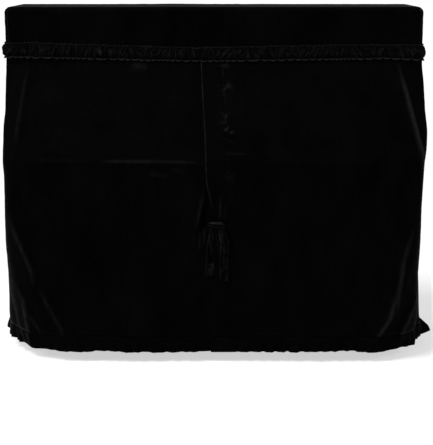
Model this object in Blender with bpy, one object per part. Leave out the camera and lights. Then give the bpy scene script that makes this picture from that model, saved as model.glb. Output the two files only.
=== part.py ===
"""Fitted cloth cover for an upright piano: cap, ruched band, two lapped curtains, frills and tie.

Metres, +Z up, the front of the piano at -Y, its right-hand side (seen from the front) at +X.
The origin is the centre of the underside of the top, where the cover lies on the piano's lid.
Every piece is a thin closed sheet: an inner skin worked out from named sizes, an outer skin one
cloth thickness away along the normals, and rims that join the two.
"""

import math

import bpy
import numpy as np

# Cloth
CLOTH = 0.002
SEAM_GAP = 0.0006
STRAP_CLOTH = 0.004

# Lap of the two curtains: the left one lies this much deeper, as far as the lap's end along the
# outline, and comes back out over the fade
LAP_DEPTH = 0.0032
LAP_END = 0.075
LAP_FADE = 0.030

# Cap: the top panel and the strip that falls from its edge
HALF_WIDTH = 0.771
HALF_DEPTH = 0.187
CORNER_RADIUS = 0.030
EDGE_ROLL = 0.020
ROLL_SEAM_ANGLE = 50.0
CAP_SEAM_Z = -0.160
BACK_CORNER_RADIUS = 0.022

# Skirt: hangs from the cap's seam to the frill's seam
SKIRT_FOOT_Z = -1.172
HEM_Z = -1.231
BACK_SEAM_INSET = 0.055
ROUNDING = 0.012

# Ruched band: how far it stands off the seam, at its edges and at its crown, and its puffs
BAND_EDGE_LIFT = 0.0008
BAND_CROWN_LIFT = 0.0075
BAND_CROWN_POWER = 0.7
BAND_WAVE = 0.0012
BAND_WAVES_PER_METRE = 11.0

# Frill: depth of its waves at the hem, their number per metre, how unevenly they are spaced, and
# how far from the curtain's edge they start
FRILL_WAVE = 0.0065
FRILL_WAVES_PER_METRE = 9.0
FRILL_DRIFT = 0.35
FRILL_DRIFT_RATE = 7.0
LAP_CALM = 0.055

# Outline of the skirt at each height. Half widths run to the two sides, `front` is how far the
# front stands before the origin. A front corner leaves the front `cut` before the side, and
# reaches the side `turn` behind the front; `bulge` is 1 for a flat corner and 2 for a round one.
SECTION_COLUMNS = (
    "z", "front", "left", "right", "left_cut", "left_turn", "right_cut", "right_turn", "bulge",
)
SECTIONS = (
    (0.000, 0.187, 0.771, 0.771, 0.030, 0.030, 0.030, 0.030, 2.0),
    (-0.165, 0.187, 0.771, 0.771, 0.030, 0.026, 0.030, 0.026, 2.0),
    (-0.205, 0.194, 0.770, 0.770, 0.086, 0.026, 0.093, 0.028, 1.3),
    (-0.370, 0.322, 0.762, 0.770, 0.061, 0.052, 0.060, 0.052, 1.3),
    (-0.430, 0.373, 0.761, 0.771, 0.054, 0.050, 0.050, 0.046, 1.4),
    (-0.500, 0.428, 0.755, 0.761, 0.042, 0.048, 0.027, 0.040, 1.5),
    (-0.535, 0.446, 0.753, 0.753, 0.036, 0.046, 0.024, 0.040, 1.7),
    (-0.600, 0.447, 0.750, 0.751, 0.036, 0.050, 0.026, 0.044, 1.9),
    (-0.720, 0.448, 0.753, 0.747, 0.040, 0.060, 0.030, 0.050, 2.0),
    (-0.850, 0.449, 0.760, 0.750, 0.070, 0.095, 0.055, 0.090, 2.0),
    (-0.960, 0.450, 0.762, 0.753, 0.120, 0.140, 0.090, 0.130, 2.0),
    (-1.050, 0.451, 0.769, 0.764, 0.170, 0.190, 0.108, 0.160, 2.0),
    (-1.140, 0.453, 0.781, 0.778, 0.238, 0.250, 0.162, 0.205, 2.0),
    (-1.250, 0.456, 0.787, 0.787, 0.315, 0.310, 0.220, 0.245, 2.0),
)

# Front edges of the two curtains: x at each height. The right one laps over the left one, and
# the tie draws its edge aside; below the tie it hangs back over the left one.
EDGE_COLUMNS = ("z", "left_x", "right_x")
EDGES = (
    (-0.150, 0.032, -0.052),
    (-0.300, 0.032, -0.044),
    (-0.460, 0.032, -0.033),
    (-0.560, 0.032, -0.030),
    (-0.620, 0.032, -0.026),
    (-0.690, 0.032, -0.007),
    (-0.725, 0.032, 0.006),
    (-0.755, 0.032, 0.012),
    (-0.800, 0.032, 0.010),
    (-0.900, 0.032, 0.000),
    (-1.050, 0.032, -0.008),
    (-1.250, 0.032, -0.012),
)

# A fold grows to its full rise over the first part of its drop, and where it ends above the
# frill's seam it fades out over a part of its drop
FOLD_GROWTH = 0.40
FOLD_FADE = 0.25

# Main folds. `side` is -1 for the left curtain and 1 for the right one. A fold follows three
# points, each a distance along the outline from the centre front and a height. It stands out
# by `rise` (in, where negative) over a half width that changes from head to foot.
FOLD_COLUMNS = (
    "side", "head", "head_z", "middle", "middle_z", "foot", "foot_z", "rise", "head_half", "foot_half",
)
FOLDS = (
    (-1, 0.684, -0.195, 0.694, -0.300, 0.706, -0.440, 0.006, 0.016, 0.022),
    (1, 0.674, -0.195, 0.704, -0.330, 0.738, -0.500, 0.007, 0.014, 0.016),
    (-1, 0.745, -0.690, 0.655, -0.950, 0.553, -1.150, 0.008, 0.020, 0.030),
    (-1, 0.740, -0.800, 0.700, -0.980, 0.630, -1.160, -0.009, 0.022, 0.034),
    (-1, 0.750, -0.960, 0.700, -1.045, 0.688, -1.200, 0.011, 0.016, 0.024),
    (-1, 0.800, -1.020, 0.790, -1.120, 0.775, -1.231, -0.010, 0.022, 0.032),
    (1, 0.735, -0.720, 0.676, -0.970, 0.606, -1.170, 0.010, 0.020, 0.030),
    (1, 0.745, -0.860, 0.716, -1.010, 0.660, -1.180, -0.012, 0.020, 0.032),
    (1, 0.775, -1.010, 0.722, -1.098, 0.690, -1.165, 0.013, 0.016, 0.024),
    (1, 0.820, -1.060, 0.825, -1.140, 0.815, -1.231, -0.014, 0.024, 0.034),
    (-1, 0.970, -1.130, 0.962, -1.250, 0.955, -1.380, 0.020, 0.028, 0.048),
    (1, 0.958, -1.145, 0.955, -1.250, 0.950, -1.360, 0.046, 0.026, 0.060),
    (-1, 0.022, -0.610, 0.032, -0.690, 0.042, -0.765, -0.013, 0.009, 0.015),
    (-1, 0.034, -0.620, 0.048, -0.700, 0.064, -0.780, 0.008, 0.009, 0.012),
    (-1, 0.330, -0.560, 0.300, -0.850, 0.280, -1.231, 0.006, 0.060, 0.080),
    (1, 0.360, -0.560, 0.385, -0.850, 0.400, -1.231, 0.006, 0.060, 0.080),
)

# Ruched band: height of its two edges along the front
BAND_COLUMNS = ("x", "top_z", "bottom_z")
BAND_EDGES = (
    (-0.771, -0.1320, -0.1765),
    (-0.690, -0.1290, -0.1765),
    (-0.570, -0.1340, -0.1790),
    (-0.380, -0.1395, -0.1840),
    (-0.060, -0.1480, -0.1905),
    (0.110, -0.1450, -0.1890),
    (0.430, -0.1385, -0.1840),
    (0.640, -0.1375, -0.1810),
    (0.771, -0.1390, -0.1860),
)

# Grid lines of the sheets: rows by height or by share, columns by share of each zone of the outline
SKIRT_ROWS = (
    -0.19, -0.235, -0.30, -0.38, -0.455, -0.505, -0.532, -0.56, -0.62, -0.66, -0.70, -0.74,
    -0.775, -0.83, -0.90, -0.97, -1.03, -1.085, -1.13,
)
FRONT_SHARES = (0.0, 0.05, 0.075, 0.10, 0.125, 0.17, 0.28, 0.40, 0.53, 0.66, 0.79, 0.91)
CORNER_SHARES = (0.0, 0.16, 0.32, 0.48, 0.64, 0.78, 0.90)
SIDE_SHARES = (0.0, 0.07, 0.15, 0.25, 0.42, 0.72)
BACK_CORNER_SHARES = (0.0, 0.5, 1.0)
CAP_ROWS = (-0.060, -0.110)
ROLL_STEPS = 3
BAND_ROWS = (0.0, 0.2, 0.5, 0.8, 1.0)
FRILL_ROWS = (0.0, 0.4, 1.0)
BACK_ROWS = (-0.50, -0.85)
BACK_COLUMNS = 5
BACK_FRILL_COLUMNS = 61

# Tie: places along the front, and the strap it is made of
KNOT_CENTRE = (0.008, -0.4665, -0.757)
KNOT_HALF = (0.030, 0.0125, 0.014)
KNOT_POWER = 0.6
KNOT_RINGS = 7
KNOT_SIDES = 14

# Section of a strap, in half widths across and half thicknesses out
STRAP_SECTION = ((1.0, 0.0), (0.8, 1.0), (-0.8, 1.0), (-1.0, 0.0), (-0.8, -1.0), (0.8, -1.0))

# Each strap follows a few points (x, y, z) and is as wide as its half width at each of them
STRAPS = {
    "tie_loop_left": (
        ((-0.0060, -0.4720, -0.7725), 0.010),
        ((-0.0040, -0.4800, -0.7900), 0.013),
        ((0.0000, -0.4830, -0.8150), 0.014),
        ((0.0040, -0.4820, -0.8420), 0.014),
        ((0.0060, -0.4770, -0.8560), 0.014),
        ((0.0060, -0.4700, -0.8580), 0.014),
        ((0.0050, -0.4660, -0.8480), 0.014),
        ((0.0020, -0.4640, -0.8200), 0.014),
        ((-0.0020, -0.4635, -0.7950), 0.012),
        ((-0.0040, -0.4640, -0.7725), 0.010),
    ),
    "tie_loop_right": (
        ((0.0240, -0.4720, -0.7725), 0.010),
        ((0.0310, -0.4800, -0.7880), 0.013),
        ((0.0370, -0.4840, -0.8120), 0.015),
        ((0.0370, -0.4830, -0.8400), 0.015),
        ((0.0360, -0.4780, -0.8620), 0.014),
        ((0.0350, -0.4710, -0.8650), 0.014),
        ((0.0350, -0.4670, -0.8520), 0.014),
        ((0.0350, -0.4645, -0.8200), 0.014),
        ((0.0290, -0.4635, -0.7940), 0.012),
        ((0.0240, -0.4640, -0.7725), 0.010),
    ),
    "tie_tail_left": (
        ((-0.0020, -0.4570, -0.7725), 0.010),
        ((-0.0060, -0.4570, -0.8000), 0.013),
        ((-0.0110, -0.4565, -0.8500), 0.015),
        ((-0.0140, -0.4565, -0.9000), 0.015),
        ((-0.0150, -0.4570, -0.9420), 0.015),
    ),
    "tie_tail_right": (
        ((0.0220, -0.4570, -0.7725), 0.010),
        ((0.0290, -0.4570, -0.8000), 0.013),
        ((0.0340, -0.4565, -0.8500), 0.015),
        ((0.0360, -0.4565, -0.9100), 0.015),
        ((0.0360, -0.4570, -0.9650), 0.015),
    ),
}

VELVET_COLOUR = (0.006, 0.006, 0.007, 1.0)
VELVET_ROUGHNESS = 0.92


def column(table, names, name):
    """One named column of a table, as an array."""
    return np.array([row[names.index(name)] for row in table], float)


def at_height(table, names, name, z):
    """A column's value at height z, its corners rounded over a short height."""
    heights = column(table, names, "z")[::-1]
    values = column(table, names, name)[::-1]
    nearby = z + ROUNDING * np.linspace(-1.0, 1.0, 5)
    return float(np.mean(np.interp(nearby, heights, values)))


def outline(side, z, start_x, inset=0.0, back_to=None):
    """Half an outline at height z, from the front at start_x round to the back.

    Returns the points in the side's own sense (x grows towards the side, whichever it is)."""
    which = "left" if side < 0 else "right"
    width = at_height(SECTIONS, SECTION_COLUMNS, which, z) - inset
    front = at_height(SECTIONS, SECTION_COLUMNS, "front", z) - inset
    cut = at_height(SECTIONS, SECTION_COLUMNS, which + "_cut", z) - inset
    turn = at_height(SECTIONS, SECTION_COLUMNS, which + "_turn", z) - inset
    power = 2.0 / at_height(SECTIONS, SECTION_COLUMNS, "bulge", z)
    back = HALF_DEPTH - inset
    radius = max(BACK_CORNER_RADIUS - inset, CLOTH)
    points = []
    for share in FRONT_SHARES:
        points.append((start_x + share * (width - cut - start_x), -front))
    for share in CORNER_SHARES:
        angle = share * math.pi / 2.0
        across = width - cut * (1.0 - math.sin(angle) ** power)
        points.append((across, -front + turn * (1.0 - math.cos(angle) ** power)))
    side_from = -front + turn
    for share in SIDE_SHARES:
        points.append((width, side_from + share * (back - radius - side_from)))
    for share in BACK_CORNER_SHARES:
        angle = share * math.pi / 2.0
        across = width - radius * (1.0 - math.cos(angle))
        points.append((across, back - radius * (1.0 - math.sin(angle))))
    if back_to is not None:
        points.append((back_to, back))
    return np.array(points)


def path_lengths(points):
    """Distance along an outline from the centre front to each of its points."""
    steps = np.linalg.norm(np.diff(points, axis=0), axis=1)
    return points[0, 0] + np.concatenate([[0.0], np.cumsum(steps)])


def fold_offset(side, lengths, z):
    """How far the main folds move the cloth out at one height, for each point along the outline."""
    offset = np.zeros(len(lengths))
    for row in FOLDS:
        fold = dict(zip(FOLD_COLUMNS, row))
        if fold["side"] != side:
            continue
        drop = (fold["head_z"] - z) / (fold["head_z"] - fold["foot_z"])
        if drop <= 0.0:
            continue
        grow = min(1.0, drop / FOLD_GROWTH)
        if drop > 1.0 and fold["foot_z"] > SKIRT_FOOT_Z:
            grow = max(0.0, 1.0 - (drop - 1.0) / FOLD_FADE)
        heights = (fold["foot_z"], fold["middle_z"], fold["head_z"])
        centre = np.interp(z, heights, (fold["foot"], fold["middle"], fold["head"]))
        half = fold["head_half"] + min(drop, 1.0) * (fold["foot_half"] - fold["head_half"])
        offset += fold["rise"] * grow * np.exp(-(((lengths - centre) / half) ** 2))
    return offset


def outward(points, closed=False):
    """Unit vectors square to a flat outline, pointing away from the cover's inside."""
    if closed:
        along = np.roll(points, -1, axis=0) - np.roll(points, 1, axis=0)
    else:
        along = np.gradient(points, axis=0)
    along /= np.linalg.norm(along, axis=1, keepdims=True)
    return np.stack([along[:, 1], -along[:, 0]], axis=1)


def grid_normals(grid, closed):
    """Unit normals of a grid of points (rows by columns), out of the cover."""
    if closed:
        along = np.roll(grid, -1, axis=1) - np.roll(grid, 1, axis=1)
    else:
        along = np.gradient(grid, axis=1)
    down = np.gradient(grid, axis=0)
    normals = np.cross(down, along)
    return normals / np.linalg.norm(normals, axis=2, keepdims=True)


def mesh_object(name, points, faces, smooth=True):
    """A new object from points and faces, with its own velvet material."""
    mesh = bpy.data.meshes.new(name)
    mesh.from_pydata([tuple(map(float, point)) for point in points], [], faces)
    mesh.validate()
    if smooth:
        mesh.shade_smooth()
    obj = bpy.data.objects.new(name, mesh)
    bpy.context.scene.collection.objects.link(obj)
    material = bpy.data.materials.new(name + "_velvet")
    material.use_nodes = True
    shader = material.node_tree.nodes["Principled BSDF"]
    shader.inputs["Base Color"].default_value = VELVET_COLOUR
    shader.inputs["Roughness"].default_value = VELVET_ROUGHNESS
    shader.inputs["Metallic"].default_value = 0.0
    mesh.materials.append(material)
    return obj


def quad(a, b, c, d, flip):
    return (a, d, c, b) if flip else (a, b, c, d)


def sheet_object(name, inner, thickness=CLOTH, closed=False, flip=False):
    """A cloth sheet over a grid of inner points; columns join up again when closed is set.

    Rows run down and columns run from the front to the back of the +X side; flip is for the
    other side, whose grid is mirrored."""
    sign = -1.0 if flip else 1.0
    outer = inner + sign * thickness * grid_normals(inner, closed)
    rows, columns = inner.shape[:2]
    count = rows * columns
    points = np.concatenate([inner.reshape(-1, 3), outer.reshape(-1, 3)])
    faces = []
    spans = columns if closed else columns - 1
    for i in range(rows - 1):
        for j in range(spans):
            a = i * columns + j
            b = i * columns + (j + 1) % columns
            c = b + columns
            d = a + columns
            faces.append(quad(a, b, c, d, flip))
            faces.append(quad(count + a, count + b, count + c, count + d, not flip))
    for j in range(spans):
        k = (j + 1) % columns
        last = (rows - 1) * columns
        faces.append(quad(j, count + j, count + k, k, flip))
        faces.append(quad(last + j, last + k, count + last + k, count + last + j, flip))
    if not closed:
        for i in range(rows - 1):
            a = i * columns
            b = a + columns
            faces.append(quad(a, b, count + b, count + a, flip))
            a = i * columns + columns - 1
            b = a + columns
            faces.append(quad(a, count + a, count + b, b, flip))
    return mesh_object(name, points, faces)


def side_grid(side, heights):
    """Inner grid of a sheet on one side of the cover, from its front edge to the back's seam.

    The left one is drawn in where it runs under the lap of the right one."""
    edge = "left_x" if side < 0 else "right_x"
    rows = []
    for z in heights:
        start = side * at_height(EDGES, EDGE_COLUMNS, edge, z)
        points = outline(side, z, start, back_to=HALF_WIDTH - BACK_SEAM_INSET)
        lengths = path_lengths(points)
        offset = fold_offset(side, lengths, z)
        if side < 0:
            offset -= LAP_DEPTH * np.clip((LAP_END - lengths) / LAP_FADE, 0.0, 1.0)
        points = points + outward(points) * offset[:, None]
        rows.append(np.column_stack([side * points[:, 0], points[:, 1], np.full(len(points), z)]))
    return np.array(rows)


def make_skirt(name, side):
    """One curtain, from the cap's seam to the frill's seam."""
    heights = (CAP_SEAM_Z - SEAM_GAP / 2.0,) + SKIRT_ROWS + (SKIRT_FOOT_Z,)
    return sheet_object(name, side_grid(side, heights), flip=side < 0)


def frill_heights():
    top = SKIRT_FOOT_Z - SEAM_GAP
    return [top + share * (HEM_Z - top) for share in FRILL_ROWS]


def frill_wave(lengths, z):
    """Waves of a gathered strip, which grow from its seam to its hem."""
    grow = (SKIRT_FOOT_Z - z) / (SKIRT_FOOT_Z - HEM_Z)
    turns = FRILL_WAVES_PER_METRE * lengths + FRILL_DRIFT * np.sin(FRILL_DRIFT_RATE * lengths)
    past_lap = np.clip((lengths - LAP_CALM) / LAP_CALM, 0.0, 1.0)
    return FRILL_WAVE * grow * past_lap * np.sin(2.0 * math.pi * turns)


def refined(grid, times):
    """The same grid with each span of columns divided, for pieces that wave along their length."""
    shares = np.linspace(0.0, 1.0, times, endpoint=False)
    parts = []
    for j in range(grid.shape[1] - 1):
        for share in shares:
            parts.append((1.0 - share) * grid[:, j] + share * grid[:, j + 1])
    parts.append(grid[:, -1])
    return np.stack(parts, axis=1)


def make_frill(name, side):
    """The gathered strip under one curtain."""
    grid = refined(side_grid(side, frill_heights()), 2)
    flat = grid[:, :, :2] * np.array([side, 1.0])
    for i, z in enumerate(frill_heights()):
        wave = frill_wave(path_lengths(flat[i]), z)
        flat[i] += outward(flat[i]) * wave[:, None]
    grid[:, :, 0] = side * flat[:, :, 0]
    grid[:, :, 1] = flat[:, :, 1]
    return sheet_object(name, grid, flip=side < 0)


def make_back(name, heights, columns, wave=None):
    """A flat sheet across the back, between the two side pieces; it may wave along its length."""
    reach = HALF_WIDTH - BACK_SEAM_INSET - SEAM_GAP
    across = np.linspace(reach, -reach, columns)
    rows = []
    for z in heights:
        y = np.full(columns, HALF_DEPTH)
        if wave is not None:
            y = y + wave(across + HALF_WIDTH, z)
        rows.append(np.column_stack([across, y, np.full(columns, z)]))
    return sheet_object(name, np.array(rows))


def ring(z, inset):
    """A whole outline at height z, once round from the centre front by way of +X."""
    right = outline(1, z, 0.0, inset, back_to=0.0)
    left = outline(-1, z, 0.0, inset, back_to=0.0)
    left = left[1:-1][::-1] * np.array([-1.0, 1.0])
    return np.concatenate([right, left])


def roll_section(angle):
    """Inset and height on the cap's rolled edge, where 0 is the wall and 90 degrees the top."""
    inset = EDGE_ROLL * (1.0 - math.cos(math.radians(angle)))
    return inset, -EDGE_ROLL + EDGE_ROLL * math.sin(math.radians(angle))


def ring_grid(sections):
    """Grid of closed rings, from (inset, z) pairs."""
    rows = []
    for inset, z in sections:
        points = ring(min(z, 0.0), inset)
        rows.append(np.column_stack([points, np.full(len(points), z)]))
    return np.array(rows)


def fall_columns(count):
    """Spans of the ring's columns for the four strips of the cap's fall, each from corner to corner.

    The ring starts at the centre front and runs by way of +X, so the front strip wraps its start."""
    front = len(FRONT_SHARES) + len(CORNER_SHARES) // 2
    back = len(FRONT_SHARES) + len(CORNER_SHARES) + len(SIDE_SHARES) + 1
    return {
        "front_fall": (count - front, count + front),
        "right_fall": (front, back),
        "back_fall": (back, count - back),
        "left_fall": (count - back, count - front),
    }


def make_falls():
    """The strips round the cap, from the roll's seam down to the band's seam."""
    sections = [roll_section(a) for a in np.linspace(ROLL_SEAM_ANGLE, 0.0, ROLL_STEPS)]
    sections += [(0.0, z) for z in CAP_ROWS]
    sections.append((0.0, CAP_SEAM_Z + SEAM_GAP / 2.0))
    whole = ring_grid(sections)
    for name, (first, last) in fall_columns(whole.shape[1]).items():
        picked = np.arange(first, last + 1) % whole.shape[1]
        strip = whole[:, picked].copy()
        for end, inner in ((0, 1), (-1, -2)):
            step = strip[:, inner] - strip[:, end]
            step /= np.linalg.norm(step, axis=1, keepdims=True)
            strip[:, end] += step * SEAM_GAP
        sheet_object(name, strip)


def make_top_panel():
    """The flat panel on the lid, with its edge rolled over as far as the seam."""
    seam = ROLL_SEAM_ANGLE + math.degrees(SEAM_GAP / EDGE_ROLL)
    sections = [roll_section(a) for a in np.linspace(90.0, seam, ROLL_STEPS)]
    inner = ring_grid(sections)
    outer = inner + CLOTH * grid_normals(inner, True)
    outer[0, :, 2] = CLOTH
    rows, columns = inner.shape[:2]
    count = rows * columns
    points = np.concatenate([inner.reshape(-1, 3), outer.reshape(-1, 3)])
    faces = []
    for i in range(rows - 1):
        for j in range(columns):
            a = i * columns + j
            b = i * columns + (j + 1) % columns
            faces.append((a, b, b + columns, a + columns))
            faces.append((count + a, count + a + columns, count + b + columns, count + b))
    last = (rows - 1) * columns
    for j in range(columns):
        k = (j + 1) % columns
        faces.append((last + j, last + k, count + last + k, count + last + j))
    faces.append(tuple(range(columns))[::-1])
    faces.append(tuple(range(count, count + columns)))
    return mesh_object("top_panel", points, faces)


def make_band():
    """The ruched band: a puffed strip round the cover, laid over the seam under the cap."""
    base = ring(CAP_SEAM_Z, 0.0)
    base = refined(base[None], 2)[0]
    closing = np.array([(base[-1] + base[0]) / 2.0])
    base = np.concatenate([base, closing])
    normals = outward(base, closed=True)
    lengths = path_lengths(base)
    xs = column(BAND_EDGES, BAND_COLUMNS, "x")
    top = np.interp(base[:, 0], xs, column(BAND_EDGES, BAND_COLUMNS, "top_z"))
    bottom = np.interp(base[:, 0], xs, column(BAND_EDGES, BAND_COLUMNS, "bottom_z"))
    rows = []
    facing = np.clip(-normals[:, 1], 0.0, 1.0)
    puff = BAND_WAVE * np.sin(2.0 * math.pi * BAND_WAVES_PER_METRE * lengths)
    for share in BAND_ROWS:
        crown = math.sin(math.pi * share) ** BAND_CROWN_POWER
        z = top + share * (bottom - top)
        front = np.array([at_height(SECTIONS, SECTION_COLUMNS, "front", height) for height in z])
        lift = CLOTH + BAND_EDGE_LIFT + crown * (BAND_CROWN_LIFT + puff)
        lift = lift + facing * (front - HALF_DEPTH)
        flat = base + normals * lift[:, None]
        rows.append(np.column_stack([flat, z]))
    return sheet_object("ruched_band", np.array(rows), closed=True)


def make_strap(name, stations):
    """A soft flat strap swept through its points: six-sided section, closed ends."""
    centres = np.array([place for place, _ in stations])
    halves = np.array([half for _, half in stations])
    along = np.gradient(centres, axis=0)
    along /= np.linalg.norm(along, axis=1, keepdims=True)
    across = np.array([(1.0, 0.0, 0.0)] * len(centres))
    across -= along * np.sum(along * across, axis=1, keepdims=True)
    across /= np.linalg.norm(across, axis=1, keepdims=True)
    thick = np.cross(along, across) * STRAP_CLOTH / 2.0
    rings = [centres + across * (halves * w)[:, None] + thick * t for w, t in STRAP_SECTION]
    points = np.stack(rings, axis=1).reshape(-1, 3)
    sides = len(STRAP_SECTION)
    faces = []
    for i in range(len(centres) - 1):
        for j in range(sides):
            a = i * sides + j
            b = i * sides + (j + 1) % sides
            faces.append((a, b, b + sides, a + sides))
    faces.append(tuple(range(sides))[::-1])
    last = (len(centres) - 1) * sides
    faces.append(tuple(range(last, last + sides)))
    return mesh_object(name, points, faces)


def make_knot():
    """The knot: a soft rounded block, a little wider than tall."""
    points = [(0.0, 0.0, 1.0)]
    for i in range(1, KNOT_RINGS):
        polar = math.pi * i / KNOT_RINGS
        spread = math.sin(polar) ** KNOT_POWER
        for j in range(KNOT_SIDES):
            turn = 2.0 * math.pi * j / KNOT_SIDES
            points.append((spread * math.cos(turn), spread * math.sin(turn), math.cos(polar)))
    points.append((0.0, 0.0, -1.0))
    points = np.array(points) * np.array(KNOT_HALF) + np.array(KNOT_CENTRE)
    end = len(points) - 1
    faces = []
    for j in range(KNOT_SIDES):
        k = (j + 1) % KNOT_SIDES
        faces.append((0, 1 + j, 1 + k))
        faces.append((end, end - KNOT_SIDES + k, end - KNOT_SIDES + j))
        for i in range(KNOT_RINGS - 2):
            a = 1 + i * KNOT_SIDES
            b = a + KNOT_SIDES
            faces.append((a + j, b + j, b + k, a + k))
    return mesh_object("tie_knot", points, faces)


def main():
    for obj in list(bpy.data.objects):
        bpy.data.objects.remove(obj)
    make_top_panel()
    make_falls()
    make_band()
    make_skirt("left_skirt", -1)
    make_skirt("right_skirt", 1)
    make_frill("left_frill", -1)
    make_frill("right_frill", 1)
    back_heights = (CAP_SEAM_Z - SEAM_GAP / 2.0,) + BACK_ROWS + (SKIRT_FOOT_Z,)
    make_back("back_panel", back_heights, BACK_COLUMNS)
    make_back("back_frill", frill_heights(), BACK_FRILL_COLUMNS, frill_wave)
    make_knot()
    for name, stations in STRAPS.items():
        make_strap(name, stations)


main()
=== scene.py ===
"""Looks of the piano cover: black velvet with its gathers, folds, hems, stitches and bow.

Metres, +Z up, the front at -Y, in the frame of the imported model. Each cloth piece is a closed
sheet built over the same outline as its solid, with finer folds than the solid has.
"""

import math

import bpy
import numpy as np
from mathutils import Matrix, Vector


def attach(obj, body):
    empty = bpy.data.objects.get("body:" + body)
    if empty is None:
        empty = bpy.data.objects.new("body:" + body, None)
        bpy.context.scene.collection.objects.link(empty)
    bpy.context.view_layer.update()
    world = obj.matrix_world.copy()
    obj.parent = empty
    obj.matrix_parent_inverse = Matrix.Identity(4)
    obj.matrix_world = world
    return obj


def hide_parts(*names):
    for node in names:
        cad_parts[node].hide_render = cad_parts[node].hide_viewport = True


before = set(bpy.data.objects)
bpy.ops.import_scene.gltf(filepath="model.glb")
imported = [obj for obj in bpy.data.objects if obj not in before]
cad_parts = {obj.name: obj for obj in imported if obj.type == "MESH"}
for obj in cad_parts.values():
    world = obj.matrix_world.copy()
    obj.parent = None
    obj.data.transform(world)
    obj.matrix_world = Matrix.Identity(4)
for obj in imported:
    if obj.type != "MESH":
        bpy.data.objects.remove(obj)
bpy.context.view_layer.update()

# ---- sizes shared with the solids
CLOTH = 0.002
SEAM_GAP = 0.0006
LAP_DEPTH = 0.0032
LAP_END = 0.075
LAP_FADE = 0.030
LAP_WIDTH = 0.048
HALF_WIDTH = 0.771
HALF_DEPTH = 0.187
EDGE_ROLL = 0.020
ROLL_SEAM_ANGLE = 50.0
CAP_SEAM_Z = -0.160
BACK_CORNER_RADIUS = 0.022
CAP_CORNER_RADIUS = 0.030
SKIRT_FOOT_Z = -1.172
HEM_Z = -1.231
BACK_SEAM_INSET = 0.055
ROUNDING = 0.012

SECTION_COLUMNS = (
    "z", "front", "left", "right", "left_cut", "left_turn", "right_cut", "right_turn", "bulge",
)
SECTIONS = (
    (0.000, 0.187, 0.771, 0.771, 0.030, 0.030, 0.030, 0.030, 2.0),
    (-0.165, 0.187, 0.771, 0.771, 0.030, 0.026, 0.030, 0.026, 2.0),
    (-0.205, 0.194, 0.770, 0.770, 0.086, 0.026, 0.093, 0.028, 1.3),
    (-0.370, 0.322, 0.762, 0.770, 0.061, 0.052, 0.060, 0.052, 1.3),
    (-0.430, 0.373, 0.761, 0.771, 0.054, 0.050, 0.050, 0.046, 1.4),
    (-0.500, 0.428, 0.755, 0.761, 0.042, 0.048, 0.027, 0.040, 1.5),
    (-0.535, 0.446, 0.753, 0.753, 0.036, 0.046, 0.024, 0.040, 1.7),
    (-0.600, 0.447, 0.750, 0.751, 0.036, 0.050, 0.026, 0.044, 1.9),
    (-0.720, 0.448, 0.753, 0.747, 0.040, 0.060, 0.030, 0.050, 2.0),
    (-0.850, 0.449, 0.760, 0.750, 0.070, 0.095, 0.055, 0.090, 2.0),
    (-0.960, 0.450, 0.762, 0.753, 0.120, 0.140, 0.090, 0.130, 2.0),
    (-1.050, 0.451, 0.769, 0.764, 0.170, 0.190, 0.108, 0.160, 2.0),
    (-1.140, 0.453, 0.781, 0.778, 0.238, 0.250, 0.162, 0.205, 2.0),
    (-1.250, 0.456, 0.787, 0.787, 0.315, 0.310, 0.220, 0.245, 2.0),
)

EDGE_COLUMNS = ("z", "left_x", "right_x")
EDGES = (
    (-0.150, 0.032, -0.052),
    (-0.300, 0.032, -0.044),
    (-0.460, 0.032, -0.033),
    (-0.560, 0.032, -0.030),
    (-0.620, 0.032, -0.026),
    (-0.690, 0.032, -0.007),
    (-0.725, 0.032, 0.006),
    (-0.755, 0.032, 0.012),
    (-0.800, 0.032, 0.010),
    (-0.900, 0.032, 0.000),
    (-1.050, 0.032, -0.008),
    (-1.250, 0.032, -0.012),
)


def column(table, names, name):
    """One named column of a table, as an array."""
    return np.array([row[names.index(name)] for row in table], float)


def at_height(table, names, name, z):
    """A column's value at each height in z, its corners rounded over a short height."""
    heights = column(table, names, "z")[::-1]
    values = column(table, names, name)[::-1]
    nearby = np.asarray(z, float)[..., None] + ROUNDING * np.linspace(-1.0, 1.0, 5)
    return np.mean(np.interp(nearby, heights, values), axis=-1)


def section(name, z):
    """One size of the outline at each height in z."""
    return at_height(SECTIONS, SECTION_COLUMNS, name, z)


def ramp(value, low, high):
    """0 below low, 1 above high, and a smooth step between."""
    share = np.clip((value - low) / (high - low), 0.0, 1.0)
    return share * share * (3.0 - 2.0 * share)


def noise(a, b, seed):
    """Smooth value noise in -1..1, one lattice cell per unit of a and b."""
    table = np.random.default_rng(seed).uniform(-1.0, 1.0, (64, 64))
    a, b = np.broadcast_arrays(np.asarray(a, float), np.asarray(b, float))
    i, j = np.floor(a).astype(int), np.floor(b).astype(int)
    u, v = a - i, b - j
    u, v = u * u * (3.0 - 2.0 * u), v * v * (3.0 - 2.0 * v)
    low = table[i % 64, j % 64] * (1.0 - u) + table[(i + 1) % 64, j % 64] * u
    high = table[i % 64, (j + 1) % 64] * (1.0 - u) + table[(i + 1) % 64, (j + 1) % 64] * u
    return low * (1.0 - v) + high * v


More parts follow.
